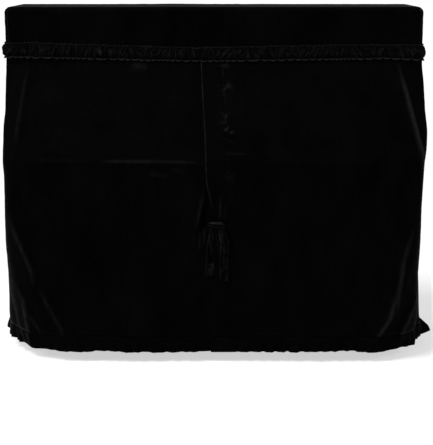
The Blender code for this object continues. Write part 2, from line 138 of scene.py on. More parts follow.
# ---- folds and creases
# Main folds of the two curtains, on or close to those of the solids: side, three points (distance
# along the outline from the centre front, height), how far the fold stands out, and its half width
# at head and foot. `crisp` runs from 0, a soft swell, to 1, a pressed edge, and the last column is how
# strong a painted highlight, a lighter grey, lies along its crest.
FOLD_COLUMNS = (
    "side", "head", "head_z", "middle", "middle_z", "foot", "foot_z",
    "rise", "head_half", "foot_half", "crisp", "painted_highlight",
)
FOLDS = (
    (-1, 0.684, -0.195, 0.694, -0.300, 0.706, -0.440, 0.006, 0.012, 0.018, 0.5, 0.20),
    (1, 0.674, -0.175, 0.706, -0.330, 0.740, -0.500, 0.007, 0.007, 0.009, 0.9, 0.62),
    (-1, 0.745, -0.690, 0.702, -0.815, 0.655, -0.940, 0.010, 0.014, 0.018, 0.7, 0.42),
    (-1, 0.642, -0.975, 0.615, -1.030, 0.553, -1.150, 0.010, 0.016, 0.020, 0.6, 0.28),
    (-1, 0.740, -0.800, 0.700, -0.980, 0.630, -1.160, -0.005, 0.020, 0.030, 0.0, 0.0),
    (-1, 0.750, -0.960, 0.700, -1.045, 0.688, -1.200, 0.011, 0.012, 0.018, 0.7, 0.50),
    (-1, 0.692, -1.090, 0.668, -1.125, 0.645, -1.158, 0.005, 0.009, 0.012, 0.6, 0.30),
    (-1, 0.800, -1.020, 0.790, -1.120, 0.775, -1.231, -0.006, 0.022, 0.032, 0.0, 0.0),
    (1, 0.726, -0.735, 0.684, -0.889, 0.665, -1.036, 0.009, 0.010, 0.012, 0.8, 0.42),
    (1, 0.668, -0.990, 0.640, -1.108, 0.599, -1.172, 0.009, 0.014, 0.018, 0.7, 0.55),
    (1, 0.745, -0.860, 0.716, -1.010, 0.660, -1.180, -0.005, 0.020, 0.030, 0.0, 0.0),
    (1, 0.775, -1.010, 0.722, -1.098, 0.690, -1.165, 0.011, 0.012, 0.016, 0.7, 0.50),
    (1, 0.820, -1.060, 0.825, -1.140, 0.815, -1.231, -0.014, 0.020, 0.030, 0.0, 0.0),
    (1, 0.815, -1.110, 0.850, -1.160, 0.885, -1.200, 0.006, 0.010, 0.012, 0.6, 0.45),
    (-1, 0.970, -1.130, 0.962, -1.250, 0.955, -1.380, 0.022, 0.022, 0.044, 0.5, 0.2),
    (1, 0.936, -1.145, 0.932, -1.250, 0.928, -1.360, 0.057, 0.020, 0.052, 0.7, 0.3),
    (-1, 0.022, -0.610, 0.032, -0.690, 0.042, -0.765, -0.014, 0.008, 0.013, 0.2, 0.0),
    (-1, 0.034, -0.620, 0.046, -0.690, 0.060, -0.755, 0.008, 0.007, 0.010, 0.8, 0.24),
    (-1, 0.330, -0.560, 0.300, -0.850, 0.280, -1.231, 0.006, 0.060, 0.080, 0.0, 0.0),
    (1, 0.360, -0.560, 0.385, -0.850, 0.400, -1.231, 0.006, 0.060, 0.080, 0.0, 0.0),
)

# Short creases on the front: from (x, z) to (x, z), how far they stand out, their half width, how crisp
# they are and how strong a painted highlight, a lighter grey, lies on their crest
CREASE_COLUMNS = ("side", "x0", "z0", "x1", "z1", "rise", "half", "crisp", "painted_highlight")
CREASES = (
    # where the cloth turns down over the edge of the key-bed
    (-1, -0.400, -0.529, -0.180, -0.531, 0.0030, 0.007, 0.9, 0.42),
    (-1, -0.240, -0.530, -0.060, -0.533, 0.0034, 0.006, 0.9, 0.36),
    (-1, -0.720, -0.524, -0.400, -0.528, 0.0016, 0.007, 0.6, 0.07),
    (-1, -0.330, -0.548, -0.100, -0.552, -0.0025, 0.012, 0.0, 0.0),
    (-1, -0.235, -0.572, -0.165, -0.578, 0.0020, 0.011, 0.2, 0.20),
    (-1, -0.150, -0.560, -0.090, -0.566, 0.0018, 0.009, 0.2, 0.12),
    (1, 0.030, -0.503, 0.120, -0.505, 0.0018, 0.006, 0.4, 0.17),
    (1, 0.120, -0.531, 0.600, -0.530, 0.0010, 0.010, 0.4, 0.02),
    # drawn in to the tie
    (-1, -0.058, -0.756, -0.110, -0.700, 0.0020, 0.010, 0.2, 0.0),
    (-1, -0.050, -0.775, -0.052, -0.850, 0.0034, 0.006, 0.5, 0.30),
    (-1, -0.034, -0.772, -0.034, -0.830, 0.0030, 0.006, 0.5, 0.30),
    (-1, -0.066, -0.772, -0.078, -0.836, 0.0026, 0.006, 0.4, 0.16),
    (1, 0.020, -0.742, 0.026, -0.650, 0.0030, 0.006, 0.4, 0.24),
    (1, 0.034, -0.745, 0.046, -0.680, 0.0022, 0.007, 0.3, 0.14),
    (1, 0.050, -0.752, 0.110, -0.732, 0.0014, 0.009, 0.2, 0.0),
    # a soft swell under the band
    (-1, -0.300, -0.212, -0.245, -0.222, 0.0050, 0.018, 0.0, 0.22),
)

# Where the cloth puckers beside the stitched hem of the right curtain: height, reach up and down, and
# how strong the puckers are, which sets both how far they stand out and their painted highlight, a
# lighter grey
PUCKER_COLUMNS = ("z", "half", "painted_highlight")
PUCKERS = (
    (-0.208, 0.016, 0.30),
    (-0.288, 0.020, 0.50),
    (-0.388, 0.026, 0.85),
    (-0.428, 0.018, 0.70),
    (-0.462, 0.014, 0.40),
    (-0.600, 0.030, 0.22),
)
PUCKER_REACH = 0.022
PUCKER_RISE = 0.0024

# Widths of the painted highlight along crease and fold crests
CREASE_HIGHLIGHT_WIDTH = 0.6
FOLD_HIGHLIGHT_WIDTH = 0.0058
BEND_SOFTNESS = 0.03


def fold_profile(distance, crisp):
    """Height of a fold across it, 1 on its line: a soft bell, or a pressed edge."""
    soft = np.exp(-distance ** 2)
    bend = np.sqrt(distance ** 2 + BEND_SOFTNESS) - math.sqrt(BEND_SOFTNESS)
    pressed = np.exp(-1.6 * bend)
    return (1.0 - crisp) * soft + crisp * pressed


def crest(distance, width):
    """A bell across a line, 1 on it: how a painted highlight falls off across a crest, and the shape of
    some swells and dips.
    """
    return np.exp(-(distance / width) ** 2)


def fold_offset(side, lengths, z):
    """How far the main folds move the cloth out, and the painted highlight, a lighter grey, on their
    crests.
    """
    offset = np.zeros(lengths.shape)
    painted_highlight = np.zeros(lengths.shape)
    for row in FOLDS:
        fold = dict(zip(FOLD_COLUMNS, row))
        if fold["side"] != side:
            continue
        drop = (fold["head_z"] - z) / (fold["head_z"] - fold["foot_z"])
        grow = ramp(drop, 0.0, 0.5)
        if fold["foot_z"] > HEM_Z:
            grow = grow * (1.0 - ramp(drop, 0.95, 1.25))
        heights = (fold["foot_z"], fold["middle_z"], fold["head_z"])
        centre = np.interp(z, heights, (fold["foot"], fold["middle"], fold["head"]))
        share = np.clip(drop, 0.0, 1.0)
        half = fold["head_half"] + share * (fold["foot_half"] - fold["head_half"])
        distance = (lengths - centre) / half
        offset += fold["rise"] * grow * fold_profile(distance, fold["crisp"])
        painted_highlight = np.maximum(painted_highlight, fold["painted_highlight"] * grow * crest(lengths - centre, FOLD_HIGHLIGHT_WIDTH))
    return offset, painted_highlight


def crease_offset(side, x, z):
    """How far the short creases move the front out, and the painted highlight, a lighter grey, on their
    crests.
    """
    offset = np.zeros(x.shape)
    painted_highlight = np.zeros(x.shape)
    for row in CREASES:
        crease = dict(zip(CREASE_COLUMNS, row))
        if crease["side"] != side:
            continue
        run = np.array([crease["x1"] - crease["x0"], crease["z1"] - crease["z0"]])
        size = np.linalg.norm(run)
        run = run / size
        along = (x - crease["x0"]) * run[0] + (z - crease["z0"]) * run[1]
        across = -(x - crease["x0"]) * run[1] + (z - crease["z0"]) * run[0]
        taper = ramp(along, -0.1 * size, 0.25 * size)
        taper = taper * (1.0 - ramp(along, 0.75 * size, 1.1 * size))
        distance = across / crease["half"]
        offset += crease["rise"] * taper * fold_profile(distance, crease["crisp"])
        painted_highlight = np.maximum(painted_highlight, crease["painted_highlight"] * taper * crest(distance, CREASE_HIGHLIGHT_WIDTH))
    return offset, painted_highlight


# ---- sheets from grids of points
def unit(vectors):
    return vectors / np.linalg.norm(vectors, axis=-1, keepdims=True)


def grid_normals(grid):
    """Unit normals of a grid of points (rows down, columns along), out of the cover."""
    return unit(np.cross(np.gradient(grid, axis=0), np.gradient(grid, axis=1)))


def full_turn(count):
    """Evenly spaced angles once round."""
    return np.linspace(0.0, 2.0 * math.pi, count, endpoint=False)


def places_along(line):
    """Distance of each point of a line from its first."""
    steps = np.linalg.norm(np.diff(line, axis=0), axis=1)
    return np.concatenate([[0.0], np.cumsum(steps)])


def from_ends(run):
    """Distance of each place in a run from the nearer end, as one row."""
    return np.minimum(run, run[-1] - run)[None]


def points_at(wanted, places, line):
    """Points of a line at wanted distances along it."""
    return np.stack([np.interp(wanted, places, line[:, k]) for k in range(line.shape[1])], axis=-1)


def row_lengths(points):
    """Distance along each row of a grid, starting from its first x."""
    steps = np.linalg.norm(np.diff(points[..., :2], axis=1), axis=-1)
    start = np.zeros((len(points), 1))
    return points[:, :1, 0] + np.concatenate([start, np.cumsum(steps, axis=1)], axis=1)


def lip(distance, radius):
    """Share of the full thickness at a distance from a rounded edge."""
    share = np.clip(distance / radius, 0.0, 1.0)
    return 0.15 + 0.85 * np.sqrt(1.0 - (1.0 - share) ** 2)


def placed(name, data):
    """A new object in the scene."""
    obj = bpy.data.objects.new(name, data)
    bpy.context.scene.collection.objects.link(obj)
    return obj


def mesh_piece(name, points, faces, material, nodes, painted_highlight=None):
    """A new smooth object that stands for CAD nodes and rides with the cover.

    Its last argument says for each point how strong a painted highlight, a lighter grey, lies there,
    which its material reads."""
    mesh = bpy.data.meshes.new(name)
    mesh.from_pydata(points.tolist(), [], faces)
    mesh.validate()
    if painted_highlight is not None:
        highlight_data = mesh.attributes.new("painted_highlight", "FLOAT", "POINT")
        highlight_data.data.foreach_set("value", np.clip(painted_highlight, 0.0, 1.0).astype(np.float32).ravel())
    mesh.shade_smooth()
    mesh.materials.append(material)
    obj = placed(name, mesh)
    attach(obj, "root")
    if nodes:
        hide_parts(*nodes)
    return obj


def grid_faces(rows, columns, first, flip):
    """Faces of a grid whose points start at index first."""
    i, j = np.meshgrid(np.arange(rows - 1), np.arange(columns - 1), indexing="ij")
    a = first + i * columns + j
    loop = (a, a + 1, a + 1 + columns, a + columns)
    if flip:
        loop = loop[::-1]
    return np.stack(loop, axis=-1).reshape(-1, 4)


def sheet_faces(rows, columns, flip):
    """Faces of a closed sheet: inner grid, outer grid and the rims between them."""
    count = rows * columns
    parts = [grid_faces(rows, columns, 0, flip), grid_faces(rows, columns, count, not flip)]
    head = np.arange(columns - 1)
    foot = (rows - 1) * columns + head
    start = np.arange(rows - 1) * columns
    end = start + columns - 1
    rims = (
        (head, count + head, count + head + 1, head + 1),
        (foot, foot + 1, count + foot + 1, count + foot),
        (start, start + columns, count + start + columns, count + start),
        (end, count + end, count + end + columns, end + columns),
    )
    for rim in rims:
        parts.append(np.stack(rim[::-1] if flip else rim, axis=-1))
    return np.concatenate(parts).tolist()


def sheet_piece(name, inner, thickness, material, nodes, flip=False, painted_highlight=0.0):
    """A sheet of cloth over a grid of inner points, with a thickness at each of them."""
    sign = -1.0 if flip else 1.0
    outer = inner + sign * np.asarray(thickness)[..., None] * grid_normals(inner)
    points = np.concatenate([inner.reshape(-1, 3), outer.reshape(-1, 3)])
    faces = sheet_faces(inner.shape[0], inner.shape[1], flip)
    # Only the outer face carries the painted highlight
    highlight_data = np.zeros((2,) + inner.shape[:2])
    highlight_data[1] = painted_highlight
    return mesh_piece(name, points, faces, material, nodes, highlight_data), outer


# ---- outlines
HEM_WIDTH = {-1: 0.018, 1: 0.078}
FRONT_REACH = 0.62
CURTAIN_ROWS = ((-0.200, 0.005), (-0.490, 0.005), (-0.560, 0.0036), (SKIRT_FOOT_Z, 0.0085))
# Strength of the painted highlight along each curtain's front edge and beside its hem
EDGE_HIGHLIGHT = 0.8
HEM_HIGHLIGHT = 0.20
HEM_FOLD = 0.0014
HEM_DIP = 0.0011
HEM_RIPPLE = 0.0010
FRILL_SPACING = 0.0036
TUCK = 0.005
TUCK_DEPTH = 0.0042
TUCK_FADE = 0.008
CORNER_STEPS = 12
RING_LENGTH = 3.80
EDGE_STEPS = (0.0, 0.0005, 0.0012, 0.0022, 0.0036, 0.0055)
EDGE_ZONE = 0.096
EDGE_ZONE_COLUMNS = 38
FRONT_COLUMNS = 84
CORNER_COLUMNS = 72
SIDE_COLUMNS = 60
BACK_COLUMNS = 8


def side_outline(side, z, start):
    """Rows of outline points on one side at heights z, in the side's own sense (x outwards)."""
    which = "left" if side < 0 else "right"
    width = section(which, z)[:, None]
    front = section("front", z)[:, None]
    cut = section(which + "_cut", z)[:, None]
    turn = section(which + "_turn", z)[:, None]
    power = 2.0 / section("bulge", z)[:, None]
    start = np.asarray(start, float)[:, None]
    rest = np.linspace(EDGE_STEPS[-1], EDGE_ZONE, EDGE_ZONE_COLUMNS)[1:]
    edge = start + np.concatenate([EDGE_STEPS, rest])[None]
    shares = np.linspace(0.0, 1.0, FRONT_COLUMNS + 1)[1:-1][None]
    flat_from = edge[:, -1:]
    across = flat_from + shares * (width - cut - flat_from)
    angle = np.linspace(0.0, math.pi / 2.0, CORNER_COLUMNS)[None]
    bend_x = width - cut * (1.0 - np.sin(angle) ** power)
    bend_y = -front + turn * (1.0 - np.cos(angle) ** power)
    shares = np.linspace(0.0, 1.0, SIDE_COLUMNS + 1)[1:-1][None]
    back = HALF_DEPTH - BACK_CORNER_RADIUS
    side_y = (-front + turn) + shares * (back + front - turn)
    turnings = np.linspace(0.0, math.pi / 2.0, BACK_COLUMNS)[None]
    round_x = width - BACK_CORNER_RADIUS * (1.0 - np.cos(turnings))
    round_y = back + BACK_CORNER_RADIUS * np.sin(turnings)
    end_x = np.full_like(width, HALF_WIDTH - BACK_SEAM_INSET)
    xs = [edge, across, bend_x, width + 0.0 * side_y, round_x, end_x]
    ys = [-front + 0.0 * edge, -front + 0.0 * across, bend_y, side_y, round_y + 0.0 * width,
          np.full_like(width, HALF_DEPTH)]
    return np.stack([np.concatenate(xs, axis=1), np.concatenate(ys, axis=1)], axis=-1)


def curtain_rows():
    """Heights of a curtain's rows, closer together where it bends over the key-bed."""
    parts, top = [], CAP_SEAM_Z - SEAM_GAP / 2.0
    for foot, spacing in CURTAIN_ROWS:
        parts.append(rows_between(top, foot, spacing)[:-1])
        top = foot
    return np.concatenate(parts + [[top]])


def rows_between(top, foot, spacing):
    return np.linspace(top, foot, int(round((top - foot) / spacing)) + 1)


# How uneven the cloth is: height of the swells or wrinkles, their size along the cloth and down it
SWELL = (0.0026, 0.19, 0.30)
HANG = (0.0030, 0.085, 0.55)
CRUSH = (0.0006, 0.030, 0.045)
SMALL = (0.0003, 0.012, 0.018)
SEAM_GATHERS = (0.0011, 0.011, 0.09)
BACK_SWELL = (0.0020, 0.22, 0.25)
BACK_HANG = (0.0045, 0.16, 0.9)
BACK_CRUSH = (0.0006, 0.035, 0.05)
BACK_GATHERS = (0.0010, 0.012, 0.09)
CRUSH_SLANT = 0.6
GATHERS_END = (0.19, 0.27)


def waves(kind, along, down, seed):
    """Swells or wrinkles of one kind over a cloth."""
    height, width, length = kind
    return height * noise(along / width, down / length, seed)


def unevenness(lengths, z, seed):
    """Soft swells and slight wrinkles that a curtain has all over."""
    free = ramp(-z, 0.18, 0.30)
    swell = waves(SWELL, lengths, z, seed)
    hang = waves(HANG, lengths, z, seed + 1) * ramp(-z, 0.56, 0.85)
    crush = waves(CRUSH, lengths + CRUSH_SLANT * z, z, seed + 2)
    small = waves(SMALL, lengths, z, seed + 3)
    gathers = waves(SEAM_GATHERS, lengths, z, seed + 4) * (1.0 - ramp(-z, *GATHERS_END))
    return free * (swell + hang) + crush + small + gathers


def curtain_surface(side, z, seed):
    """Inner points of one curtain at heights z, how far each is from its front edge, and its painted
    highlight.
    """
    edge_name = "left_x" if side < 0 else "right_x"
    start = side * at_height(EDGES, EDGE_COLUMNS, edge_name, z)
    flat = side_outline(side, z, start)
    heights = np.repeat(z[:, None], flat.shape[1], axis=1)
    lengths = row_lengths(flat)
    x = side * flat[..., 0]
    offset, painted_highlight = fold_offset(side, lengths, heights)
    on_front = flat[..., 0] < FRONT_REACH
    creased, crease_rub = crease_offset(side, x, heights)
    offset += np.where(on_front, creased, 0.0)
    painted_highlight = np.maximum(painted_highlight, np.where(on_front, crease_rub, 0.0))
    from_edge = lengths - lengths[:, :1]
    calm_edge = 0.35 + 0.65 * ramp(from_edge, 0.0, 0.10)
    calm_back = 1.0 - ramp(lengths, lengths[:, -1:] - 0.10, lengths[:, -1:] - 0.02)
    offset += unevenness(lengths, heights, seed) * calm_edge * calm_back
    if side < 0:
        offset -= LAP_DEPTH * np.clip((LAP_END - lengths) / LAP_FADE, 0.0, 1.0)
    grid = np.concatenate([side * flat[..., :1], flat[..., 1:], heights[..., None]], axis=-1)
    return grid + side * grid_normals(grid) * offset[..., None], from_edge, painted_highlight


def puckered(heights, from_hem, seed):
    """How strongly the cloth puckers beside a hem, from a table of places along it."""
    strength = np.zeros(heights.shape)
    for row in PUCKERS:
        place = dict(zip(PUCKER_COLUMNS, row))
        strength += place["painted_highlight"] * crest(heights - place["z"], place["half"])
    bend = 1.3 * noise(heights / 0.031, from_hem / 0.017, seed)
    lines = ramp(noise(heights / 0.0105 + bend, from_hem / 0.021, seed + 1), 0.0, 0.8)
    return strength * lines * crest(from_hem - 0.3 * PUCKER_REACH, PUCKER_REACH)


def make_curtain(name, side, seed):
    """One front curtain with its side: hemmed front edge, lap, folds, creases and puckers."""
    z = curtain_rows()
    grid, from_edge, painted_highlight = curtain_surface(side, z, seed)
    heights = grid[..., 2]
    width = HEM_WIDTH[side]
    hem = 1.0 - ramp(from_edge, width - 0.0035, width)
    stitch = crest(from_edge - width, 0.0022)
    pucker = 0.5 + 0.5 * noise(heights / 0.011, from_edge / 0.03, seed + 7)
    ripple = pucker * crest(from_edge - width, 0.012)
    thickness = CLOTH + HEM_FOLD * hem - HEM_DIP * stitch + HEM_RIPPLE * ripple
    if side > 0:
        puckers = puckered(heights, from_edge - width, seed + 12)
        thickness = thickness + PUCKER_RISE * puckers
        # The puckers also get a painted highlight
        painted_highlight = np.maximum(painted_highlight, puckers)
    thickness = thickness * lip(from_edge, 0.0045) * lip(heights - SKIRT_FOOT_Z + 0.0004, 0.003)
    node = "left_skirt" if side < 0 else "right_skirt"
    # Painted highlight, a lighter grey, along the front edge above the tie, and in patches beside the
    # hem's stitched line
    selvage_highlight = EDGE_HIGHLIGHT * (0.75 + 0.35 * noise(heights / 0.02, 0.0, seed + 8))
    above_tie = 1.0 - ramp(-heights, 0.60, 0.76)
    painted_highlight = np.maximum(painted_highlight, selvage_highlight * above_tie * crest(from_edge, 0.0032))
    hem_side_highlight = ramp(noise(heights / 0.009, from_edge / 0.02, seed + 9), 0.1, 0.7)
    hem_side_highlight = HEM_HIGHLIGHT * hem_side_highlight * above_tie * crest(from_edge - width - 0.001, 0.0045)
    painted_highlight = np.maximum(painted_highlight, hem_side_highlight)
    piece, outer = sheet_piece(
        name, grid, thickness, VELVET, [node], flip=side < 0, painted_highlight=painted_highlight,
    )
    return outer, seam_line(outer, from_edge, width)


def seam_line(grid, distance, wanted):
    """Points of a grid where the distance of each row passes a wanted value."""
    rows = np.arange(len(grid))
    after = np.argmax(distance > wanted, axis=1)
    low, high = distance[rows, after - 1], distance[rows, after]
    share = ((wanted - low) / (high - low))[:, None]
    return grid[rows, after - 1] * (1.0 - share) + grid[rows, after] * share


# ---- gathered strips
def puffs(turns):
    """Rounded crests with sharp valleys between them, 0 to 1, one for each turn."""
    return np.abs(np.cos(math.pi * turns)) ** 0.7


def resample(points, spacing):
    """The same rows of points with even steps along them."""
    places = places_along(points[0])
    wanted = np.linspace(0.0, places[-1], int(round(places[-1] / spacing)) + 1)
    return np.array([points_at(wanted, places, row) for row in points]), wanted


FRILL_HEIGHT = 0.064
FRILL_WAVE = 0.058
FRILL_SWING = 0.0062
FRILL_GATHER = 0.0022
FRILL_DROP = 0.0035
FRILL_CALM = 0.05
BACK_FRILL_END = 0.008


def gathered(rows, lengths, seed, lap):
    """How far a strip's rows swing out, with fine gathers at the seam that merge into wide waves,
    and how far its hem rises and falls. The strip lies flat along its lap and at its far end."""
    down = np.linspace(0.0, 1.0, rows)[:, None]
    run = lengths[None]
    drift = 0.9 * noise(run / 0.16, 0.0, seed)
    wander = 0.25 * noise(run / 0.05, 2.0 * down, seed + 1)
    fine = puffs(run / (0.30 * FRILL_WAVE) + drift * 2.0 + wander) - 0.6
    broad = np.sin(2.0 * math.pi * (run / FRILL_WAVE + drift + wander))
    broad = broad + 0.45 * np.sin(2.0 * math.pi * (run / (0.47 * FRILL_WAVE) + 1.7 * drift))
    vary = 0.75 + 0.5 * noise(run / 0.11, 3.0, seed + 2)
    swing = FRILL_SWING * vary * broad * ramp(down, 0.0, 1.1)
    swing = swing + FRILL_GATHER * fine * (1.0 - 0.55 * down)
    fall = FRILL_DROP * noise(run / 0.045, 5.0, seed + 3) * down
    ends = ramp(run, lap, lap + FRILL_CALM)
    ends = ends * ramp(run[:, -1:] - run, BACK_FRILL_END, FRILL_CALM)
    return swing * ends, fall


def make_frill(name, node, surface, seed, sign, lap):
    """A gathered strip under a curtain or the back, from rows of its ungathered surface."""
    grid, lengths = resample(surface, FRILL_SPACING)
    swing, fall = gathered(len(grid), lengths, seed, lap)
    grid = grid + sign * grid_normals(grid) * swing[..., None]
    grid[..., 2] += fall
    down = (grid[:1, :, 2] - grid[..., 2]) / (SKIRT_FOOT_Z - HEM_Z)
    ends = from_ends(lengths)
    thickness = CLOTH * lip(ends, 0.003)
    thickness = thickness * lip(np.maximum(1.0 - down, 0.0) * FRILL_HEIGHT + 0.0003, 0.003)
    thickness = thickness * lip(down * FRILL_HEIGHT + 0.0003, 0.002)
    piece, _ = sheet_piece(
        name, grid, thickness, FRILL_VELVET, [node], flip=sign < 0,
    )


def tucked(surface, sign):
    """Rows of a frill moved in where they lie under the cloth they are sewn to."""
    under = TUCK_DEPTH * (1.0 - ramp(SKIRT_FOOT_Z - surface[..., 2], 0.0, TUCK_FADE))
    return surface - sign * grid_normals(surface) * under[..., None]


def front_frill(name, node, side, seed, cloth_seed):
    z = rows_between(SKIRT_FOOT_Z + TUCK, HEM_Z, 0.004)
    surface, _, _ = curtain_surface(side, z, cloth_seed)
    make_frill(name, node, tucked(surface, side), seed, side, LAP_WIDTH)


BACK_LAP = 0.006
BACK_EDGE_ZONE = 0.030
BACK_EDGE_COLUMNS = 16
BACK_SPACING = 0.010
BACK_SEED = 70


def back_rows(z, seed):
    """Rows of the back, from +X to -X, with the slight waves of a cloth that hangs free."""
    seam = HALF_WIDTH - BACK_SEAM_INSET
    reach = seam + BACK_LAP
    inner = reach - BACK_EDGE_ZONE
    edge = np.linspace(reach, inner, BACK_EDGE_COLUMNS)[:-1]
    middle = np.linspace(inner, -inner, int(2.0 * inner / BACK_SPACING) + 1)
    across = np.concatenate([edge, middle, -edge[::-1]])
    heights = np.repeat(z[:, None], len(across), axis=1)
    lengths = np.repeat(across[None] + HALF_WIDTH, len(z), axis=0)
    calm = ramp(reach - np.abs(across), 0.010, 0.08)[None]
    under = TUCK_DEPTH * ramp(np.abs(across), seam - 0.008, seam - 0.001)[None]
    hang = waves(BACK_HANG, lengths, heights, seed) * ramp(-heights, 0.2, 0.7)
    swell = waves(BACK_SWELL, lengths, heights, seed + 1) * ramp(-heights, 0.17, 0.3)
    gathers = waves(BACK_GATHERS, lengths, heights, seed + 2)
    gathers = gathers * (1.0 - ramp(-heights, *GATHERS_END))
    crush = waves(BACK_CRUSH, lengths, heights, seed + 3)
    y = HALF_DEPTH + (hang + swell + gathers + crush) * calm - under
    return np.stack([np.repeat(across[None], len(z), axis=0), y, heights], axis=-1)


def make_back():
    """The plain back and the frill along its foot."""
    z = rows_between(CAP_SEAM_Z - SEAM_GAP / 2.0, SKIRT_FOOT_Z, BACK_SPACING)
    grid = back_rows(z, BACK_SEED)
    thickness = np.full(grid.shape[:2], CLOTH) * lip(grid[..., 2] - SKIRT_FOOT_Z + 0.0004, 0.003)
    piece, outer = sheet_piece("back_cloth", grid, thickness, VELVET, ["back_panel"])
    z = rows_between(SKIRT_FOOT_Z + TUCK, HEM_Z, 0.004)
    surface = tucked(back_rows(z, BACK_SEED), 1.0)
    make_frill("back_frill_cloth", "back_frill", surface, 74, 1.0, BACK_FRILL_END)
    return outer


# ---- cap and band
def whole_ring(z, inset, spacing):
    """Evenly spaced points once round the cap's outline, from the centre back by way of -X."""
    width, depth = HALF_WIDTH - inset, HALF_DEPTH - inset
    front_radius, back_radius = CAP_CORNER_RADIUS - inset, BACK_CORNER_RADIUS - inset
    points = [(0.0, depth)]
    corners = (
        (-1, 1, back_radius, 90.0), (-1, -1, front_radius, 180.0),
        (1, -1, front_radius, 270.0), (1, 1, back_radius, 0.0),
    )
    for across, behind, radius, start in corners:
        for step in range(CORNER_STEPS + 1):
            angle = math.radians(start + 90.0 * step / CORNER_STEPS)
            points.append((
                across * (width - radius) + radius * math.cos(angle),
                behind * (depth - radius) + radius * math.sin(angle),
            ))
    points.append((0.0, depth))
    line = np.array(points)
    places = places_along(line)
    wanted = np.linspace(0.0, places[-1], int(round(RING_LENGTH / spacing)) + 1)
    return np.column_stack([points_at(wanted, places, line), np.full(len(wanted), z)])


def roll_section(angle):
    """Inset and height on the cap's rolled edge, where 0 is the wall and 90 degrees the top."""
    inset = EDGE_ROLL * (1.0 - math.cos(math.radians(angle)))
    return inset, -EDGE_ROLL + EDGE_ROLL * math.sin(math.radians(angle))


BAND_COLUMNS = ("x", "top_z", "bottom_z")
BAND_EDGES = (
    (-0.771, -0.1320, -0.1765),
    (-0.690, -0.1290, -0.1765),
    (-0.570, -0.1340, -0.1790),
    (-0.380, -0.1395, -0.1840),
    (-0.060, -0.1480, -0.1905),
    (0.110, -0.1450, -0.1890),
    (0.430, -0.1385, -0.1840),
    (0.640, -0.1375, -0.1810),
    (0.771, -0.1390, -0.1860),
)
BAND_SPACING = 0.0026
BAND_CLOTH = 0.0016
BAND_BROAD = 0.0300
BAND_FINE = 0.0128
BAND_LIFT = 0.0050
BROAD_RISE = 0.0050
FINE_RISE = 0.0030
BAND_STITCH_LIFT = 0.0006
RUFFLE_REACH = (0.11, 0.13)
RUFFLE_WAVE = (0.015, 0.026)
RUFFLE_LIFT = (0.0012, 0.0020)
RUFFLE_SWING = (0.0030, 0.0056)
RUFFLE_DIP = (0.0016, 0.0052)
# Where beyond each stitched line the ruffle's painted highlight lies
RUFFLE_HIGHLIGHT_PLACE = (0.05, 0.09)
CHEVRON = 1.8
CHEVRON_PLACE = 0.745
CHEVRON_REACH = 0.035
END_SWELL = 0.0040


def band_gathers(run, v, drift, x):
    """Crests of the band's broad and fine gathers: upright, slanting, or bent at its front ends."""
    slant = 1.5 * noise(run / 0.045, 9.0, 91) * (v - 0.5)
    slant = slant + CHEVRON * crest(np.abs(x) - CHEVRON_PLACE, CHEVRON_REACH) * np.abs(v - 0.5)
    wander = 0.42 * noise(run / 0.017, 2.6 * v, 92)
    broad = puffs(run / BAND_BROAD + drift + slant + wander)
    fine = puffs(run / BAND_FINE + 1.9 * drift + 1.3 * slant + 1.6 * wander)
    return broad, fine


